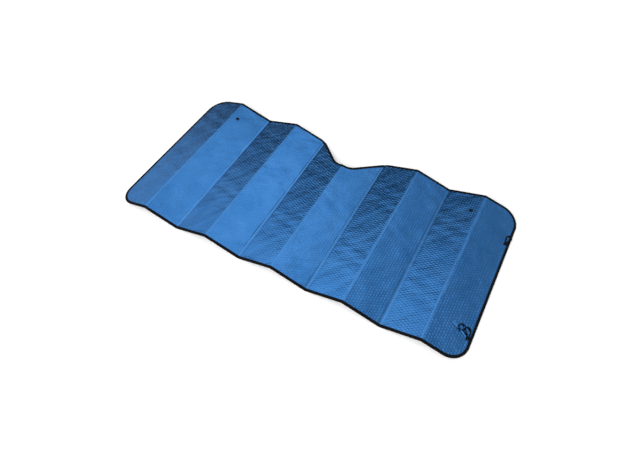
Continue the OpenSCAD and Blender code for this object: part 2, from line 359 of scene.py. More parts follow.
    def loose(self, i, u, y):
        """1 where the film may bulge, 0 beside the tape and round an eyelet."""
        size = sizes()
        s = self.start(i) + u
        tall = np.minimum(self.edge(s, size.tape_w, True) - y, y - self.edge(s, size.tape_w, False))
        free = smoothstep(tall / CALM_W)
        if i == 1:
            free = free * smoothstep((u - size.tape_w) / CALM_W)
        if i == LAST:
            free = free * smoothstep((self.width(i) - size.tape_w - u) / CALM_W)
        for side, panel in EYELET_PANELS.items():
            if panel == i:
                away = np.hypot(u - self.eyelet_u(side), y - self.eyelet_y)
                free = free * smoothstep((away - 1.2 * size.eyelet_flange_r) / CALM_W)
        return free

    def crumple(self, i, u, y, front):
        """Broad, shallow bulges of a film, from -1 to 0.6."""
        s = self.start(i) + u
        turn = 1.9 * i + (0.0 if front else 2.1)
        bend = 0.9 * np.sin(23 * y + 11 * s + turn)
        waves = (
            np.sin(74 * s + 21 * y + turn + bend)
            + np.sin(39 * y - 66 * s + 1.7 * turn - bend)
            + np.sin(81 * y + 24 * s + 2.3 * turn + 2 * bend)
            + 0.5 * np.sin(137 * y - 118 * s + 3.1 * turn + 3 * bend)
        )
        return np.clip(0.45 * waves - 0.2, -1, 0.0 if i == LAST else 0.6)

    def relief(self, i, y, front):
        """How full the bubbles stand, which changes from panel to panel and along each one."""
        return np.interp(y, RELIEF_Y, RELIEF[i - 1] if front else BACK_RELIEF)

    def ribbed(self, i, s, y, lift):
        """Lets the bubbles run together in rows towards the top edge of a ribbed panel."""
        share = RIBBED.get(i, 0) * smoothstep((y - RIB_START) / RIB_RISE)
        row_pitch = finish_values().bubble_pitch * math.sqrt(0.75)
        return lift * (1 - share) + share * (0.5 + 0.5 * np.cos(2 * math.pi * s / row_pitch))

    def film(self, i, u, y, front):
        """Height of a film's outer face over the sheet's middle, and the bubble pattern there."""
        size, look = sizes(), finish_values()
        s = self.start(i) + u
        lift = self.ribbed(i, s, y, self.bubbles(s, y))
        full = size.sheet_t / 2 - look.bubble_depth * self.relief(i, y, front) * (1 - lift)
        full = full + look.crumple * self.crumple(i, u, y, front) * self.loose(i, u, y)
        if i == LAST and front:
            full = full - look.fold_mark * fold_mark(u, y)
        pressed = size.pressed_t / 2
        free = self.unpressed(i, u, front)
        return pressed + (full - pressed) * free, 1 - (1 - lift) * free


def fold_mark(u, y):
    """1 along the stray fold on the last panel, falling to 0 beside it."""
    start, end = np.array(FOLD_MARK[0]), np.array(FOLD_MARK[1])
    run = end - start
    along = np.clip(((u - start[0]) * run[0] + (y - start[1]) * run[1]) / (run @ run), 0, 1)
    away = np.hypot(u - start[0] - along * run[0], y - start[1] - along * run[1])
    ends = smoothstep(5 * along) * smoothstep(5 - 5 * along)
    return np.exp(-((away / FOLD_MARK_W) ** 2)) * ends


# ---------------------------------------------------------------- modelling helpers


def only(piece):
    """Selects one piece and nothing else."""
    bpy.ops.object.select_all(action="DESELECT")
    piece.select_set(True)
    bpy.context.view_layer.objects.active = piece


def add(operator, **values):
    """Adds a primitive, a lamp or a camera while nothing else is selected."""
    bpy.ops.object.select_all(action="DESELECT")
    operator(**values)
    return bpy.context.object


def points_of(piece):
    flat = np.empty(len(piece.data.vertices) * 3)
    piece.data.vertices.foreach_get("co", flat)
    return flat.reshape(-1, 3)


def move_points(piece, points):
    piece.data.vertices.foreach_set("co", np.ascontiguousarray(points).ravel())
    piece.data.update()
    return piece


def shape_up(resize, bevel, segments):
    """Resizes the new primitive in edit mode and rounds its edges."""
    bpy.ops.object.mode_set(mode="EDIT")
    bpy.ops.mesh.select_all(action="SELECT")
    bpy.ops.transform.resize(value=resize)
    bpy.ops.mesh.bevel(offset=bevel, segments=segments, affect="EDGES")
    bpy.ops.object.mode_set(mode="OBJECT")


def grid_piece(name, columns, rows, place):
    """A grid whose points go to place(a, b), with a across and b up, both from 0 to 1."""
    grid = bpy.ops.mesh.primitive_grid_add
    piece = add(grid, x_subdivisions=columns, y_subdivisions=rows, size=1)
    piece.name = piece.data.name = name
    at = points_of(piece) + 0.5
    return move_points(piece, place(at[:, 0], at[:, 1]))


def close_up(piece, merge=1e-6):
    """Merges points that meet, closes what is open and turns the faces outwards."""
    only(piece)
    bpy.ops.object.mode_set(mode="EDIT")
    bpy.ops.mesh.select_all(action="SELECT")
    bpy.ops.mesh.remove_doubles(threshold=merge)
    bpy.ops.mesh.select_all(action="SELECT")
    bpy.ops.mesh.fill_holes(sides=0)
    bpy.ops.mesh.select_all(action="SELECT")
    bpy.ops.mesh.normals_make_consistent(inside=False)
    bpy.ops.object.mode_set(mode="OBJECT")
    return piece


def smooth(piece, degrees):
    only(piece)
    bpy.ops.object.shade_smooth_by_angle(angle=math.radians(degrees))
    return piece


def modify(piece, kind, **values):
    """Puts a modifier on a piece and applies it."""
    only(piece)
    modifier = piece.modifiers.new(kind.lower(), kind)
    for key, value in values.items():
        setattr(modifier, key, value)
    bpy.ops.object.modifier_apply(modifier=modifier.name)


def joined(name, parts):
    """Joins several objects into one piece."""
    bpy.ops.object.select_all(action="DESELECT")
    for part in parts:
        part.select_set(True)
    bpy.context.view_layer.objects.active = parts[0]
    if len(parts) > 1:
        bpy.ops.object.join()
    parts[0].name = parts[0].data.name = name
    return parts[0]


def finish_piece(piece, material):
    piece.data.materials.clear()
    piece.data.materials.append(material)
    return piece


def set_lift(piece, lift):
    """Stores on each point how far it stands in the bubble pattern, which sets the foil's painted
    shade between the bubbles.
    """
    pattern = piece.data.attributes.new("lift", "FLOAT", "POINT")
    pattern.data.foreach_set("value", lift.astype(np.float32))


def wrapped(steps, rings):
    """The share along a grid that has one more ring at each end for its walls."""
    return np.clip((steps * rings - 1) / (rings - 2), 0, 1)


# ---------------------------------------------------------------- materials


def made_once(name, make, *values):
    return bpy.data.materials.get(name) or make(name, *values)


def new_material(name):
    """A material with its node tree, its shader and its Object coordinates."""
    material = bpy.data.materials.new(name)
    material.use_nodes = True
    tree = material.node_tree
    place = node(tree, "ShaderNodeTexCoord").outputs["Object"]
    return material, tree, tree.nodes["Principled BSDF"], place


def feed(tree, socket, value):
    """Links the output of another node to a socket, or sets the socket to a plain value."""
    if isinstance(value, bpy.types.NodeSocket):
        tree.links.new(value, socket)
    else:
        socket.default_value = value


def fill(tree, made, **values):
    """Values that name a socket of a node feed the socket, and others set the node."""
    for key, value in values.items():
        socket = key.replace("_", " ")
        if socket in made.inputs:
            feed(tree, made.inputs[socket], value)
        else:
            setattr(made, key, value)
    return made


def node(tree, kind, **values):
    return fill(tree, tree.nodes.new(kind), **values)


def noise(tree, place, scale, detail=3.0, roughness=0.55):
    made = node(tree, "ShaderNodeTexNoise", Vector=place, Scale=scale)
    return fill(tree, made, Detail=detail, Roughness=roughness).outputs["Fac"]


def bump(tree, height, strength, distance, **before):
    made = node(tree, "ShaderNodeBump", Height=height, Strength=strength, Distance=distance)
    return fill(tree, made, **before).outputs["Normal"]


def mapped(tree, value, ends, low, high, **values):
    """Maps a value from the range between two ends to another range."""
    made = node(tree, "ShaderNodeMapRange", Value=value, From_Min=ends[0], From_Max=ends[1])
    return fill(tree, made, To_Min=low, To_Max=high, **values).outputs["Result"]


def spread(tree, value, low, high):
    """Maps a noise value to a range."""
    return mapped(tree, value, (0.3, 0.7), low, high)


def maths(tree, operation, *values):
    """A Math node whose inputs are numbers or the outputs of other nodes."""
    made = node(tree, "ShaderNodeMath", operation=operation)
    for socket, value in zip(made.inputs, values):
        feed(tree, socket, value)
    return made.outputs[0]


def mixed(tree, share, low, high):
    """Mixes two colours, by a share of the second."""
    made = node(tree, "ShaderNodeMix", data_type="RGBA", Factor=share)
    colours = (socket for socket in made.inputs if socket.type == "RGBA")
    for socket, value in zip(colours, (low, high)):
        socket.default_value = (*value, 1)
    return next(socket for socket in made.outputs if socket.type == "RGBA")


def foil(name, light, dark, metallic, gloss):
    """Metallised film over bubbles: crinkled, a little uneven in colour, with painted shade in the
    grooves.
    """
    material, tree, shader, place = new_material(name)
    lift = node(tree, "ShaderNodeAttribute", attribute_name="lift").outputs["Fac"]
    broad = noise(tree, place, 14, 2)
    crinkle = noise(tree, place, 260, 4, 0.6)
    fine = noise(tree, place, 1500, 2)
    # Painted shade: a low lift darkens the colour in the grooves between the bubbles; the broad
    # noise adds random tone
    share = maths(tree, "MULTIPLY_ADD", lift, 0.6, spread(tree, broad, 0, 0.4))
    wrinkle = noise(tree, place, 75, 5, 0.62)
    normal = bump(tree, wrinkle, 0.3, 0.0016)
    normal = bump(tree, crinkle, 0.3, 0.0003, Normal=normal)
    normal = bump(tree, fine, 0.15, 0.00008, Normal=normal)
    fill(
        tree, shader, Base_Color=mixed(tree, share, dark, light), Metallic=metallic,
        Roughness=spread(tree, crinkle, gloss - 0.06, gloss + 0.1), Normal=normal,
    )
    return material


def cloth(name, base, thread, rough=0.85, sheen=0.01):
    """Woven cloth: two crossed sets of fine ribs, with a little lint."""
    material, tree, shader, place = new_material(name)
    ribs = []
    for way in ("X", "Y"):
        wave = node(tree, "ShaderNodeTexWave", Vector=place, Scale=thread, Distortion=1.5)
        ribs.append(fill(tree, wave, bands_direction=way).outputs["Fac"])
    lint = noise(tree, place, 900, 3)
    pale = tuple(min(1.0, 2.2 * channel + 0.002) for channel in base)
    weave = bump(tree, maths(tree, "MULTIPLY", *ribs), 0.5, 0.00025)
    fill(
        tree, shader, Base_Color=mixed(tree, spread(tree, lint, 0, 0.5), base, pale),
        Normal=bump(tree, lint, 0.3, 0.00012, Normal=weave), Specular_IOR_Level=0.06,
        Roughness=spread(tree, lint, rough - 0.08, rough + 0.06), Sheen_Weight=sheen,
        Sheen_Roughness=0.5,
    )
    return material


def enamel(name, base):
    """Painted metal, worn a little smoother where it is handled."""
    material, tree, shader, place = new_material(name)
    wear = noise(tree, place, 700, 4)
    pale = tuple(2 * channel + 0.004 for channel in base)
    fill(
        tree, shader, Base_Color=mixed(tree, spread(tree, wear, 0, 0.6), base, pale),
        Roughness=spread(tree, wear, 0.4, 0.6), Normal=bump(tree, wear, 0.1, 0.00005),
        Specular_IOR_Level=0.05,
    )
    return material


def blue_foil():
    look = finish_values()
    return made_once("blue foil", foil, look.foil_blue, look.foil_blue_groove_shade, 1.0, 0.2)


def silver_foil():
    look = finish_values()
    # Painted shade: the silver film is coloured a fifth darker between its bubbles
    dark = tuple(0.8 * channel for channel in look.foil_silver)
    return made_once("silver foil", foil, look.foil_silver, dark, 1.0, 0.24)


def tape_cloth():
    return made_once("edge tape cloth", cloth, finish_values().tape_black, 900)


def thread_cloth():
    return made_once("sewing thread", cloth, finish_values().thread_black, 2500, 0.7)


def cord_cloth():
    return made_once("elastic cord cover", cloth, finish_values().cord_black, 1600, 0.75)


# ---------------------------------------------------------------- films and creases

# Steps of a film's grid across and along a panel, finer where the stray fold lies, and the
# places of the columns beside a crease
GRID_U = 0.00217
GRID_Y = 0.00167
FINER = 1.5
NEAR_CREASE = (0, 0.0009, 0.0018, 0.0026, 0.0034, 0.0044, 0.0055, 0.0068)

# Half the slit between the front and the back shell of one panel
MIDDLE_Z = 0.00003

FILM_SMOOTH = 62
BEND_STEPS = 14
ROUND_STEPS = 40


def film_columns(shade, i, fine):
    """Columns across panel i, closer together beside its creases."""
    near, far = shade.ends(i, sizes().tuck_w)
    left = [near + d for d in NEAR_CREASE] if i > 1 else [near]
    right = [far - d for d in reversed(NEAR_CREASE)] if i < LAST else [far]
    count = round((right[0] - left[-1]) / GRID_U * fine)
    middle = np.linspace(left[-1], right[0], count + 1)[1:-1]
    return np.array([*left, *middle, *right])


def make_film(shade, i, front):
    """One film of panel i, as a thin shell from its quilted face to the sheet's middle."""
    fine = FINER if i == LAST and front else 1
    columns = film_columns(shade, i, fine)
    tuck = sizes().tuck_w
    rows = round(2 * shade.half_height / GRID_Y * fine)
    across, up = len(columns) + 1, rows + 2
    lifts = []

    def place(a, b):
        wall = (a < 0.5 / across) | (a > 1 - 0.5 / across) | (b < 0.5 / up) | (b > 1 - 0.5 / up)
        u = np.interp(wrapped(a, across), np.linspace(0, 1, len(columns)), columns)
        s = shade.start(i) + u
        y = (2 * wrapped(b, up) - 1) * shade.half_height
        y = np.clip(y, shade.edge(s, tuck, False), shade.edge(s, tuck, True))
        height, lift = shade.film(i, u, y, front)
        lifts.append(np.where(wall, 0, lift))
        side = 1 if front else -1
        return shade.place(i, u, y, side * np.where(wall, MIDDLE_Z, height))

    name = f"{'front' if front else 'back'}_foil_{i}"
    piece = grid_piece(name, across, up, place)
    set_lift(piece, lifts[0])
    return smooth(close_up(piece, 1e-5), FILM_SMOOTH)


def pierce(shade, piece, i, side):
    """Cuts the opening for an eyelet's barrel through a film."""
    size = sizes()
    punch = add(
        bpy.ops.mesh.primitive_cylinder_add, vertices=ROUND_STEPS,
        radius=size.eyelet_hole_r + size.eyelet_wall, depth=3 * size.sheet_t,
    )
    x, y, z = points_of(punch).T
    move_points(punch, shade.place(i, shade.eyelet_u(side) + x, shade.eyelet_y + y, z))
    modify(piece, "BOOLEAN", operation="DIFFERENCE", object=punch)
    mesh = punch.data
    bpy.data.objects.remove(punch)
    bpy.data.meshes.remove(mesh)
    return smooth(piece, FILM_SMOOTH)


def flat_cut(shade, i):
    """Width, length and area of the piece of film that panel i is cut from."""
    near, far = shade.ends(i, sizes().tuck_w)
    s = shade.start(i) + np.linspace(near, far, 400)
    tall = shade.edge(s, sizes().tuck_w, True) - shade.edge(s, sizes().tuck_w, False)
    width = far - near
    return (width, float(tall.max())), float(np.mean(tall)) * width


def make_crease_film(shade, k, front):
    """The film that runs on over crease k."""
    s = shade.crease_s(k)
    side = 1 if front else -1
    height = side * sizes().pressed_t / 2
    tuck = sizes().tuck_w

    def place(a, b):
        w = a if front else 1 - a
        at = s + shade.gap * (2 * w - 1)
        low, high = shade.edge(at, tuck, False), shade.edge(at, tuck, True)
        return shade.across(k, w, low + (high - low) * b, height)

    name = f"crease_{'front' if front else 'back'}_{k}"
    piece = grid_piece(name, BEND_STEPS, 2, place)
    modify(piece, "SOLIDIFY", thickness=sizes().film_t, offset=-1)
    set_lift(piece, np.ones(len(piece.data.vertices)))
    return smooth(piece, 40)


def bend_over(shade, piece, k, reach):
    """Works out where crease k runs at a piece's widest height, and bakes the piece's place into
    its points.
    """
    start, end = (shade.across(k, w, 0.0, reach) for w in (0, 1))
    tuple(start)
    tuple(end)
    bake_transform(piece)
    return piece


class SHADE_OT_foils(bpy.types.Operator):
    """Makes the quilted blue and silver films of the ten panels"""

    bl_idname = "shade.foils"
    bl_label = "Foil films"

    def execute(self, context):
        shade = Shade()
        for i in PANELS:
            flat, area = flat_cut(shade, i)
            front = finish_piece(make_film(shade, i, True), blue_foil())
            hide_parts(f"front_film_{i}", f"bubble_core_{i}")
            back = finish_piece(make_film(shade, i, False), silver_foil())
            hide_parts(f"back_film_{i}")
            for piece in (front, back):
                for side, panel in EYELET_PANELS.items():
                    if panel == i:
                        pierce(shade, piece, i, side)
                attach(piece, f"panel_{i}")
        return {"FINISHED"}


class SHADE_OT_creases(bpy.types.Operator):
    """Makes the films that run on over the nine creases"""

    bl_idname = "shade.creases"
    bl_label = "Crease films"

    def execute(self, context):
        shade = Shade()
        for k in CREASES:
            for front in (True, False):
                piece = make_crease_film(shade, k, front)
                finish_piece(piece, blue_foil() if front else silver_foil())
                bend_over(shade, piece, k, (1 if front else -1) * sizes().pressed_t / 2)
        return {"FINISHED"}


# ---------------------------------------------------------------- edge tape and seam

# Step along the tape, and how many points of its section lie on one of its two faces
TAPE_STATION = 0.004
FACE_POINTS = 13

# Radians for each metre of the tape's puckers, one at every stitch, and of its slow drift
PUCKER, DRIFT = 1571, 61


def tape_section():
    """The folded tape's section as (inset, height) pairs, from its front hem round the edge to
    its back hem, and back along its inside."""
    size = sizes()
    sheet, top = size.sheet_t / 2, size.sheet_t / 2 + size.tape_t
    seam, wide, thin = size.seam_inset, size.tape_w, size.tape_t
    face = [
        (wide, sheet + 0.1 * thin), (wide - 0.0001, top - 0.35 * thin),
        (wide - 0.0007, top - 0.02 * thin), (seam + 0.0009, top),
        (seam + 0.0004, top - 0.35 * thin), (seam, top - 0.5 * thin),
        (seam - 0.0004, top - 0.35 * thin), (seam - 0.001, top),
        (0.0035, top), (0.0018, top - 0.08 * thin), (0.0009, top - 0.0005),
        (0.0003, top - 0.0012), (0.0, 0.0004),
    ]
    lining = [
        (thin, 0.0004), (thin, sheet - 0.0002), (thin + 0.0003, sheet + 0.05 * thin),
        (wide - 0.001, sheet + 0.05 * thin),
    ]
    outer = face + [(d, -z) for d, z in reversed(face)]
    inner = [(d, -z) for d, z in reversed(lining)] + lining
    return outer + inner


def rim_runs(shade, i):
    """The edges of panel i as (length, point(share, inset)) runs; a point is (u, y)."""
    if i not in (1, LAST):
        near, far = shade.ends(i, 0)

        def straight(top):
            def point(share, inset):
                u = near + (far - near) * share
                return u, shade.edge(shade.start(i) + u, inset, top)

            return point

        return [(far - near, straight(True)), (far - near, straight(False))]
    size = sizes()
    r = size.corner_r
    flat = shade.end_w - r - shade.gap
    tall = 2 * (shade.half_height - r)
    bend = r * math.pi / 2
    total = 2 * flat + 2 * bend + tall

    def point(share, inset):
        """From the crease along the top, round the outer edge and back along the bottom."""
        t = share * total
        inset = np.broadcast_to(inset, np.shape(t)).astype(float)
        out = np.clip(t, 0, flat) - np.clip(t - flat - 2 * bend - tall, 0, flat)
        turn = np.clip(t - flat, 0, bend) + np.clip(t - flat - bend - tall, 0, bend)
        down = np.clip(t - flat - bend, 0, tall)
        angle = math.pi / 2 - turn / r
        from_crease = shade.gap + out + (r - inset) * np.cos(angle)
        y = tall / 2 - down + (r - inset) * np.sin(angle)
        return (shade.end_w - from_crease if i == 1 else from_crease), y

    return [(total, point)]


def run_heading(point, share, inset):
    """Unit direction of a run, in the panel's plane."""
    step = 1e-4
    u0, y0 = point(np.clip(share - step, 0, 1), inset)
    u1, y1 = point(np.clip(share + step, 0, 1), inset)
    along = np.stack([np.asarray(u1) - u0, np.asarray(y1) - y0], -1)
    return along / np.linalg.norm(along, axis=-1, keepdims=True)


def make_tape_run(shade, i, number, run):
    """The tape along one edge of panel i."""
    total, point = run
    section = np.array(tape_section())
    stations = max(8, round(total / TAPE_STATION))
    rings = len(section)

    def place(a, b):
        at = np.rint(b * rings).astype(int) % rings
        inset, z = section[at, 0], section[at, 1]
        calm = smoothstep(a * stations / 2) * smoothstep((1 - a) * stations / 2)
        pucker = calm * np.sin(a * total * PUCKER + 1.3 * number + i)
        drift = calm * np.sin(a * total * DRIFT + 2 * i + number)
        face = at < 2 * FACE_POINTS
        outside = (inset < sizes().seam_inset) & face
        z = z * (1 - 0.03 * outside * (0.5 + 0.5 * pucker))
        inset = inset + 0.0002 * drift * (inset > sizes().seam_inset) * face
        u, y = point(a, inset)
        return shade.place(i, u, y, z)

    piece = grid_piece(f"run_{number}", stations, rings, place)
    return close_up(piece)


def make_tape_bridge(shade, k):
    """The tape that runs on over crease k, at the top edge and at the bottom edge."""
    section = np.array(tape_section())
    rings = len(section)
    parts = []
    for top in (True, False):

        def place(a, b, top=top):
            at = np.rint(b * rings).astype(int) % rings
            s = shade.crease_s(k) + shade.gap * (2 * a - 1)
            return shade.across(k, a, shade.edge(s, section[at, 0], top), section[at, 1])

        parts.append(close_up(grid_piece("bridge", BEND_STEPS, rings, place)))
    return smooth(joined(f"tape_over_crease_{k}", parts), 50)


def stitch_shape():
    """One stitch, laid along x: a short thread that dips at both ends."""
    size = sizes()
    rod = bpy.ops.mesh.primitive_cylinder_add
    stitch = add(rod, vertices=6, radius=size.thread_d / 2, depth=size.stitch_l)
    shape_up((0.8, 1, 1), 0.28 * size.thread_d, 1)
    stitch.data.transform(Matrix.Rotation(math.pi / 2, 4, "Y"))
    points = points_of(stitch)
    faces = [tuple(f.vertices) for f in stitch.data.polygons]
    mesh = stitch.data
    bpy.data.objects.remove(stitch)
    bpy.data.meshes.remove(mesh)
    return points, faces


def make_stitches(shade, i, shape):
    """The seam of panel i: single stitches along every edge, on both faces."""
    size = sizes()
    points, faces = shape
    height = size.sheet_t / 2 + 0.5 * size.tape_t + 0.3 * size.thread_d
    found, loops = [], []
    for total, point in rim_runs(shade, i):
        count = int((total - size.stitch_pitch) / size.stitch_pitch)
        share = (np.arange(count) + 1) / (count + 1)
        u, y = point(share, size.seam_inset)
        along = run_heading(point, share, size.seam_inset)
        for side in (1, -1):
            for n in range(count):
                du, dy = along[n]
                pu = u[n] + points[:, 0] * du - points[:, 1] * dy
                py = y[n] + points[:, 0] * dy + points[:, 1] * du
                base = len(found) * len(points)
                loops.extend(tuple(base + v for v in face[::side]) for face in faces)
                found.append(shade.place(i, pu, py, side * (height + points[:, 2])))
    mesh = bpy.data.meshes.new(f"stitches_{i}")
    mesh.from_pydata(np.concatenate(found).tolist(), [], loops)
    piece = bpy.data.objects.new(f"stitches_{i}", mesh)
    bpy.context.scene.collection.objects.link(piece)
    return smooth(piece, 60)


class SHADE_OT_tape(bpy.types.Operator):
    """Makes the edge tape, panel by panel and over the creases"""

    bl_idname = "shade.tape"
    bl_label = "Edge tape"

    def execute(self, context):
        shade = Shade()
        for i in PANELS:
            runs = [make_tape_run(shade, i, n, run) for n, run in enumerate(rim_runs(shade, i))]
            piece = smooth(joined(f"edge_binding_{i}", runs), 50)
            finish_piece(piece, tape_cloth())
            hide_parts(f"edge_tape_{i}")
            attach(piece, f"panel_{i}")
        for k in CREASES:
            piece = finish_piece(make_tape_bridge(shade, k), tape_cloth())
            sign = 1 if k % 2 == 1 else -1
            bend_over(shade, piece, k, sign * shade.half_edge)
        return {"FINISHED"}


class SHADE_OT_seam(bpy.types.Operator):
    """Makes the stitches that hold the tape"""

    bl_idname = "shade.seam"
    bl_label = "Seam"

    def execute(self, context):
        shade = Shade()
        shape = stitch_shape()
        for i in PANELS:
            piece = finish_piece(make_stitches(shade, i, shape), thread_cloth())
            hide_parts(f"seam_thread_{i}")
            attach(piece, f"panel_{i}")
        return {"FINISHED"}


# ---------------------------------------------------------------- eyelets


def lathe(name, profile, place):
    """A ring with a closed profile of (radius, height) pairs, moved by place(x, y, z)."""
    closed = np.array(list(profile) + [profile[0]])
    last = len(profile)

    def at(a, b):
        r, z = closed[np.rint(b * last).astype(int)].T
        return place(r * np.cos(2 * math.pi * a), r * np.sin(2 * math.pi * a), z)

    return smooth(close_up(grid_piece(name, ROUND_STEPS, last, at)), 35)


class SHADE_OT_eyelets(bpy.types.Operator):
    """Makes the two eyelets with their washers"""

    bl_idname = "shade.eyelets"
    bl_label = "Eyelets"

    def execute(self, context):
        shade = Shade()
        size = sizes()
        hole, barrel = size.eyelet_hole_r, size.eyelet_hole_r + size.eyelet_wall
        rim, face = size.eyelet_flange_r, size.sheet_t / 2
        top = face + size.eyelet_flange_t
        collar = [
            (hole, -top + 0.0001), (hole, top - 0.0004), (hole + 0.0001, top - 0.00015),
            (hole + 0.0004, top), ((hole + rim) / 2, top), (rim - 0.0005, top - 0.0001),
            (rim - 0.0001, top - 0.0003), (rim, face + 0.00005), (rim - 0.0002, face),
            (barrel, face), (barrel, -top + 0.0001), (barrel - 0.00015, -top),
            (hole + 0.00015, -top),
        ]
        washer = [
            (barrel, -face), (rim, -face), (rim, -face - 0.0003), (rim - 0.0002, -top + 0.0001),
            (rim - 0.0005, -top), (barrel + 0.0002, -top), (barrel, -top + 0.0002),
        ]
        for side, i in EYELET_PANELS.items():
            u = shade.eyelet_u(side)

            def place(x, y, z, i=i, u=u):
                return shade.place(i, u + x, shade.eyelet_y + y, z)

            for name, profile, cad in (
                (f"eyelet_collar_{side}", collar, f"eyelet_{side}"),
                (f"eyelet_back_ring_{side}", washer, f"eyelet_washer_{side}"),
            ):
                paint = made_once("eyelet enamel", enamel, finish_values().eyelet_black)
                piece = finish_piece(lathe(name, profile, place), paint)
                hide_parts(cad)
                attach(piece, f"panel_{i}")
        return {"FINISHED"}


# ---------------------------------------------------------------- elastic loops

# Steps from one point of a route to the next, step along a cord, its sides, the strands of its
# braid in each direction, their turn in radians for each metre, and the gap under the cord
ROUTE_STEPS = 24
CORD_STATION = 0.00035
CORD_SIDES = 24
STRANDS = 6
BRAID = 3600
REST_GAP = 0.00005

# Rows of stitches in a tack, and the radius of its thread
TACK_ROWS = 11
TACK_THREAD_R = 0.0004


def smooth_route(points):
    """Points on the smooth curve through the given points."""
    points = np.array(points, float)
    found = []
    for j in range(len(points) - 1):
        a, b, c, d = (points[min(max(j + k, 0), len(points) - 1)] for k in (-1, 0, 1, 2))
        for t in np.arange(ROUTE_STEPS) / ROUTE_STEPS:
            bend = (2 * a - 5 * b + 4 * c - d) * t * t + (3 * b - a - 3 * c + d) * t**3
            found.append((2 * b + (c - a) * t + bend) / 2)
    return np.array(found + [points[-1]])


def loop_path(shade, route, top):
    """The middle line of a loop in the last panel's own lengths."""
    size = sizes()
    path = smooth_route(route)
    u = shade.end_w - size.tape_w - path[:, 0]
    y = shade.half_height - path[:, 1] if top else path[:, 1] - shade.half_height
    z = size.sheet_t / 2 + size.cord_d / 2 + REST_GAP + path[:, 2]
    return np.stack([u, y, z], -1)


def make_loop(shade, name, path):
    """A round elastic cord with a braided cover along a path."""
    radius = sizes().cord_d / 2
    gone = np.concatenate([[0], np.cumsum(np.linalg.norm(np.diff(path, axis=0), axis=1))])
    total = gone[-1]
    heading = np.gradient(path, gone, axis=0)
    heading /= np.linalg.norm(heading, axis=1, keepdims=True)
    for end in (0, -1):
        heading[end] = (0, math.copysign(1, heading[end][1]), 0)

    def place(a, b):
        t = a * total
        centre = np.stack([np.interp(t, gone, path[:, k]) for k in range(3)], -1)
        along = np.stack([np.interp(t, gone, heading[:, k]) for k in range(3)], -1)
        side = np.cross(along, (0, 0, 1))
        side /= np.linalg.norm(side, axis=1, keepdims=True)
        up = np.cross(side, along)
        angle = 2 * math.pi * b
        strands = np.sin(STRANDS * angle + t * BRAID) * np.sin(STRANDS * angle - t * BRAID)
        r = radius * (0.965 + 0.035 * strands)
        at = centre + (r * np.cos(angle))[:, None] * side + (r * np.sin(angle))[:, None] * up
        return shade.place(LAST, *at.T)

    piece = grid_piece(name, round(total / CORD_STATION), CORD_SIDES, place)
    return smooth(close_up(piece, 1e-7), 70)


def make_tack(shade, name, root, top):
    """A block of close stitches over both ends of a loop."""
    size = sizes()
    y = shade.half_height - root[1] if top else root[1] - shade.half_height
    right = shade.end_w - size.tape_w - size.tack_gap
    middle = (right - size.tack_w / 2, y - size.tack_l / 2, (size.sheet_t + size.tack_h) / 2)
    parts = [add(bpy.ops.mesh.primitive_cube_add, size=1)]
    shape_up((size.tack_w - 0.0006, size.tack_l - 0.0004, size.tack_h - 0.0003), 0.0009, 3)
    rod = bpy.ops.mesh.primitive_cylinder_add
    for row in range(TACK_ROWS):
        across = (row / (TACK_ROWS - 1) - 0.5) * (size.tack_l - 0.0012)
        thread = add(rod, vertices=8, radius=TACK_THREAD_R, depth=size.tack_w - 0.001)
        shape_up((1, 1, 1), 0.00018, 2)
        slant = Matrix.Rotation(math.radians(3 if row % 2 else -3), 4, "Z")
        thread.data.transform(slant @ Matrix.Rotation(math.pi / 2, 4, "Y"))
        thread.data.transform(Matrix.Translation((0, across, size.tack_h / 2 - 0.0003)))
        parts.append(thread)
    piece = joined(name, parts)
    move_points(piece, shade.place(LAST, *(points_of(piece) + middle).T))
    return smooth(piece, 45)


class SHADE_OT_loops(bpy.types.Operator):
    """Makes the two elastic loops and the tacks that hold them"""

    bl_idname = "shade.loops"
    bl_label = "Elastic loops"

    def execute(self, context):
        shade = Shade()
        for side, route, top in (("lower", LOWER_ROUTE, False), ("upper", UPPER_ROUTE, True)):
            tack = make_tack(shade, f"sewn_tack_{side}", route[0], top)
            finish_piece(tack, thread_cloth())
            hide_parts(f"loop_tack_{side}")
            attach(tack, f"panel_{LAST}")
            path = loop_path(shade, route, top)
            loop = make_loop(shade, f"elastic_{side}", path)
            finish_piece(loop, cord_cloth())
            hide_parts(f"elastic_loop_{side}")
            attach(loop, f"panel_{LAST}")
            line = shade.place(LAST, *path.T)
            run = float(np.linalg.norm(np.diff(line, axis=0), axis=1).sum())
            tuple(line[0])
            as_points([tuple(point) for point in line[::3]] + [tuple(line[-1])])
        return {"FINISHED"}


# ---------------------------------------------------------------- stage


def angle(name, text, degrees):
    """An angle, for a property group."""
    return bpy.props.FloatProperty(
        name=name, description=text, default=math.radians(degrees), subtype="ANGLE"
    )


def amount(name, text, default):
    """A number without a unit, for a property group."""
    return bpy.props.FloatProperty(name=name, description=text, default=default, min=0, max=200)


class StageSettings(bpy.types.PropertyGroup):
    """Camera and light."""

    azimuth: angle("Azimuth", "Camera's turn from the front", 28.9)
    elevation: angle("Elevation", "Camera's height over the floor", 54.09)
    roll: angle("Roll", "Camera's turn about its own axis", 0.31)
    place: bpy.props.FloatVectorProperty(
        name="Place", description="Where the camera stands", default=(0.5229, -0.9266, 1.3582),
        subtype="XYZ", unit="LENGTH",
    )
    lens: amount("Lens", "Focal length in millimetres", 28.07)
    sky: amount("Room light", "Strength of the even light", 0.4)
    front: amount("Front light", "Strength of the light from the front", 1.1)
    fill_power: amount("Fill light", "Power of the front softbox in watts", 45)


def stage_values():
    return bpy.context.scene.shade_stage


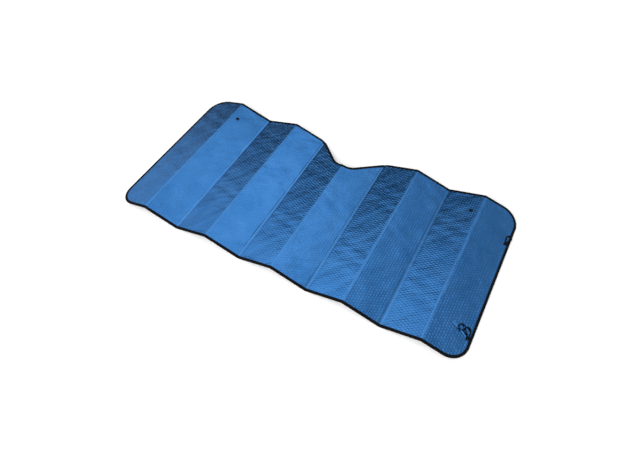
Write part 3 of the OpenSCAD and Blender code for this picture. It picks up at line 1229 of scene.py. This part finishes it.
def set_camera():
    stage = stage_values()
    camera = add(bpy.ops.object.camera_add)
    camera.name = "camera"
    turn = (
        Matrix.Rotation(stage.azimuth, 4, "Z")
        @ Matrix.Rotation(math.pi / 2 - stage.elevation, 4, "X")
        @ Matrix.Rotation(-stage.roll, 4, "Z")
    )
    camera.matrix_world = Matrix.Translation(stage.place) @ turn
    camera.data.lens = stage.lens
    camera.data.sensor_width = 36
    bpy.context.scene.camera = camera


# Soft lamps and dark screens round the stage: direction, strength, narrowness
LAMPS = (
    ((0.07, 0.46, 0.88), 0.95, 26.0),
    ((-0.66, 0.42, 0.62), 1.05, 13.0),
    ((-0.54, 0.76, 0.36), -3.1, 29.0),
)

# How far back the front light reaches before it has faded out, and the room's least light
FRONT_EDGE = 0.35
LEAST_LIGHT = 0.1

FLOOR_SIZE = 60
FLOOR_Z = -0.0004
SOFTBOX_PLACE = (-0.3, -2.2, 2.6)
SOFTBOX_SIZE = 2.0


def set_sky():
    """A room that is bright in front, with soft lamps and dark screens behind."""
    stage = stage_values()
    world = bpy.data.worlds.new("studio")
    bpy.context.scene.world = world
    world.use_nodes = True
    tree = world.node_tree
    look = node(tree, "ShaderNodeTexCoord").outputs["Generated"]
    split = node(tree, "ShaderNodeSeparateXYZ", Vector=look)
    front = mapped(
        tree, split.outputs["Y"], (-FRONT_EDGE, FRONT_EDGE), stage.front, 0,
        interpolation_type="SMOOTHSTEP",
    )
    total = maths(tree, "ADD", front, stage.sky)
    for direction, strength, narrowness in LAMPS:
        facing = node(tree, "ShaderNodeVectorMath", operation="DOT_PRODUCT")
        facing.inputs[1].default_value = Vector(direction).normalized()
        tree.links.new(look, facing.inputs[0])
        fall = maths(tree, "MULTIPLY_ADD", facing.outputs["Value"], narrowness, -narrowness)
        total = maths(tree, "MULTIPLY_ADD", maths(tree, "EXPONENT", fall), strength, total)
    total = maths(tree, "MAXIMUM", total, LEAST_LIGHT)
    fill(tree, tree.nodes["Background"], Strength=total, Color=(1, 1, 1, 1))


def add_softbox(name, place, target, size, power):
    """A square lamp that lights cloth and floor, and that the foil doesn't mirror."""
    light = add(bpy.ops.object.light_add, type="AREA")
    light.name = name
    light.data.shape = "SQUARE"
    light.data.size = size
    light.data.energy = power
    aim = (Vector(target) - Vector(place)).to_track_quat("-Z", "Y").to_matrix().to_4x4()
    light.matrix_world = Matrix.Translation(place) @ aim
    light.visible_glossy = False
    return light


class SHADE_OT_stage(bpy.types.Operator):
    """Makes the floor, the light and the camera"""

    bl_idname = "shade.stage"
    bl_label = "Floor, light and camera"

    def execute(self, context):
        stage = stage_values()
        context.scene.view_settings.view_transform = "Standard"
        set_camera()
        plane = bpy.ops.mesh.primitive_plane_add
        floor = add(plane, size=FLOOR_SIZE, location=(0, 0, FLOOR_Z))
        floor.name = "floor"
        material, tree, shader, place = new_material("pale floor")
        rough = spread(tree, noise(tree, place, 40, 2), 0.85, 0.95)
        fill(tree, shader, Roughness=rough, Base_Color=(*finish_values().floor_white, 1))
        floor.data.materials.append(material)
        floor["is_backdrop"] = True
        set_sky()
        add_softbox("front softbox", SOFTBOX_PLACE, (0, 0, 0), SOFTBOX_SIZE, stage.fill_power)
        return {"FINISHED"}


# ---------------------------------------------------------------- add-on

OPERATORS = (
    SHADE_OT_stage,
    SHADE_OT_loops,
    SHADE_OT_foils,
    SHADE_OT_creases,
    SHADE_OT_tape,
    SHADE_OT_seam,
    SHADE_OT_eyelets,
)
GROUPS = {"shade_sizes": ShadeSizes, "shade_finish": ShadeFinish, "shade_stage": StageSettings}


class SHADE_PT_panel(bpy.types.Panel):
    """Lists the sizes, the finish and the steps"""

    bl_idname = "SHADE_PT_panel"
    bl_label = "Sunshade"
    bl_space_type = "VIEW_3D"
    bl_region_type = "UI"
    bl_category = "Sunshade"

    def draw(self, context):
        for group, kind in GROUPS.items():
            box = self.layout.box()
            for name in kind.__annotations__:
                box.prop(getattr(context.scene, group), name)
        for operator in OPERATORS:
            self.layout.operator(operator.bl_idname)


def register():
    for kind in (*GROUPS.values(), *OPERATORS, SHADE_PT_panel):
        bpy.utils.register_class(kind)
    for name, kind in GROUPS.items():
        setattr(bpy.types.Scene, name, bpy.props.PointerProperty(type=kind))


def unregister():
    for name in GROUPS:
        delattr(bpy.types.Scene, name)
    for kind in (SHADE_PT_panel, *reversed(OPERATORS), *reversed(GROUPS.values())):
        bpy.utils.unregister_class(kind)


def main():
    register()
    bpy.ops.shade.stage()
    bpy.ops.shade.loops()
    bpy.ops.shade.foils()
    bpy.ops.shade.creases()
    bpy.ops.shade.tape()
    bpy.ops.shade.seam()
    bpy.ops.shade.eyelets()
    bounds = {"cad": CAD_BOX, "visual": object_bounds()}
    plain = {name: [list(corner) for corner in box] for name, box in bounds.items()}


if __name__ == "__main__":
    main()
